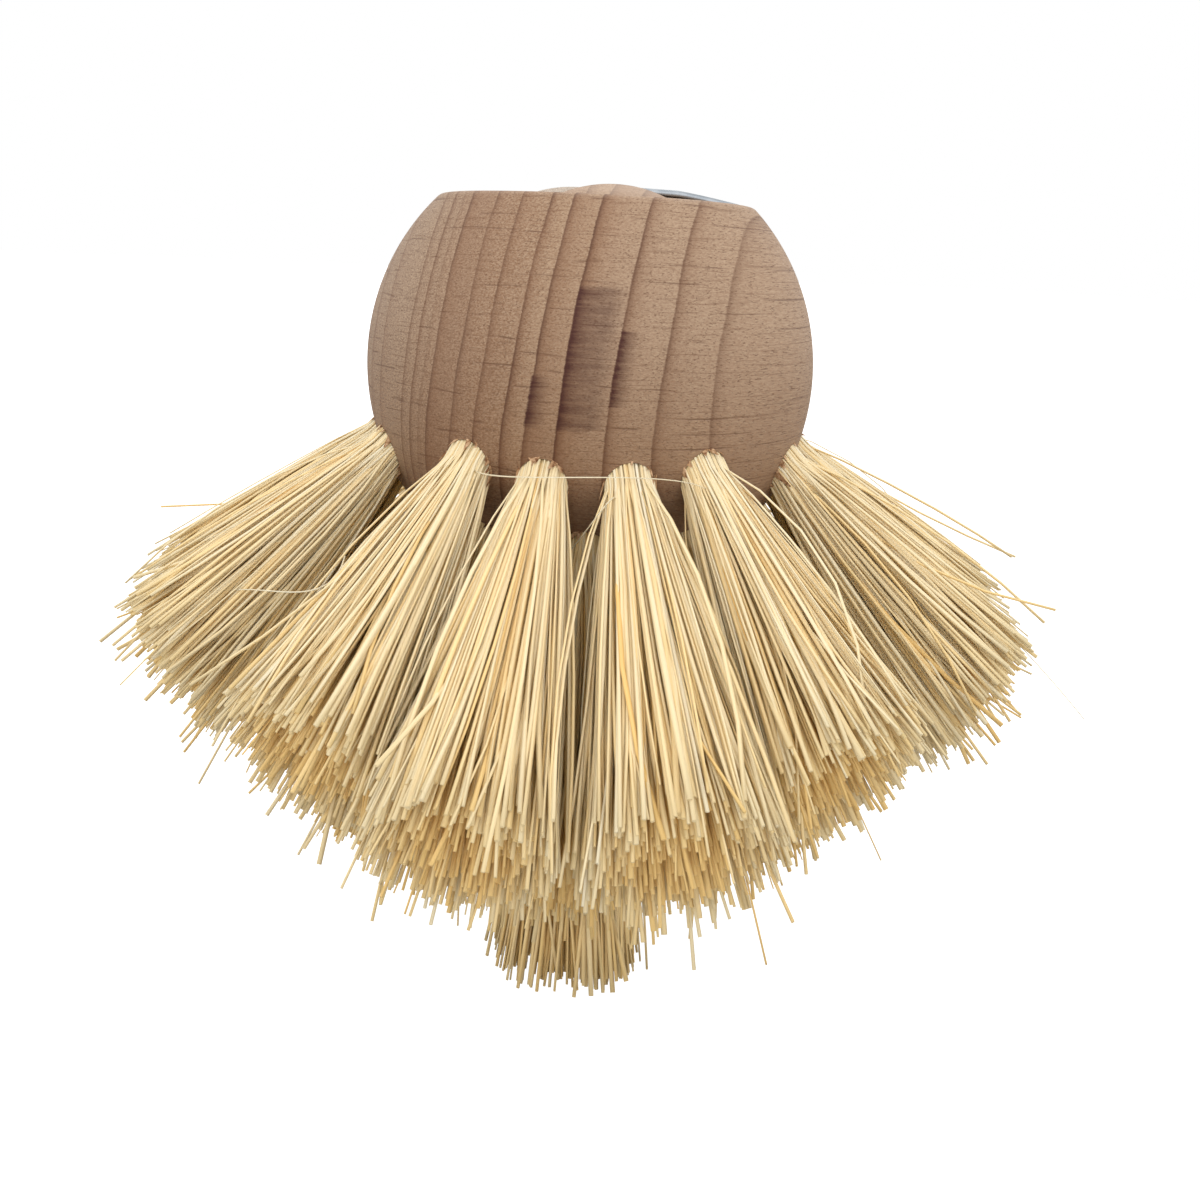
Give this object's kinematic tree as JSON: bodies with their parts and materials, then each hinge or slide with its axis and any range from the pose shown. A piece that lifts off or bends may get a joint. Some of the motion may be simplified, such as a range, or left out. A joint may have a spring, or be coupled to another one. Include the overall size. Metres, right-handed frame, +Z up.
{
  "type": "tub scrub brush",
  "caption": "Round turned beech brush head with splayed plant-fibre tufts stapled in drilled holes and a spring clip over the groove that takes a handle.",
  "frame": {"origin": "under the ball's axis, on the plane of the lowest fibre tips", "axes": "+Z up through the flat top, +X along the handle groove towards its open end"},
  "size_m": [0.0914, 0.0956, 0.0754],
  "materials": {
    "beech": "sanded bare turned beech with dark growth lines",
    "fibre": "stiff pale plant fibre, cut ends",
    "wire": "bright steel wire",
    "spring_steel": "blue-grey spring steel strip"
  },
  "bodies": {
    "head": {"head_block": "beech", "clip_nail_left": "wire", "clip_nail_right": "wire", "outer_tuft_01": "fibre", "outer_tuft_02": "fibre", "outer_tuft_03": "fibre", "outer_tuft_04": "fibre", "outer_tuft_05": "fibre", "outer_tuft_06": "fibre", "outer_tuft_07": "fibre", "outer_tuft_08": "fibre", "outer_tuft_09": "fibre", "outer_tuft_10": "fibre", "outer_tuft_11": "fibre", "outer_tuft_12": "fibre", "outer_tuft_13": "fibre", "outer_tuft_14": "fibre", "middle_tuft_01": "fibre", "middle_tuft_02": "fibre", "middle_tuft_03": "fibre", "middle_tuft_04": "fibre", "middle_tuft_05": "fibre", "middle_tuft_06": "fibre", "middle_tuft_07": "fibre", "middle_tuft_08": "fibre", "middle_tuft_09": "fibre", "middle_tuft_10": "fibre", "middle_tuft_11": "fibre", "inner_tuft_01": "fibre", "inner_tuft_02": "fibre", "inner_tuft_03": "fibre", "outer_staple_01": "wire", "outer_staple_02": "wire", "outer_staple_03": "wire", "outer_staple_04": "wire", "outer_staple_05": "wire", "outer_staple_06": "wire", "outer_staple_07": "wire", "outer_staple_08": "wire", "outer_staple_09": "wire", "outer_staple_10": "wire", "outer_staple_11": "wire", "outer_staple_12": "wire", "outer_staple_13": "wire", "outer_staple_14": "wire", "middle_staple_01": "wire", "middle_staple_02": "wire", "middle_staple_03": "wire", "middle_staple_04": "wire", "middle_staple_05": "wire", "middle_staple_06": "wire", "middle_staple_07": "wire", "middle_staple_08": "wire", "middle_staple_09": "wire", "middle_staple_10": "wire", "middle_staple_11": "wire", "inner_staple_01": "wire", "inner_staple_02": "wire", "inner_staple_03": "wire"},
    "clip": {"spring_clip": "spring_steel"}
  },
  "joints": [
    {"name": "clip_lift", "type": "hinge", "parent": "head", "child": "clip", "pos_m": [-0.0114, 0, 0.07287], "axis": [0, -1, 0], "range_deg": [0, 6], "stiffness_Nm_per_rad": 0.05}
  ]
}
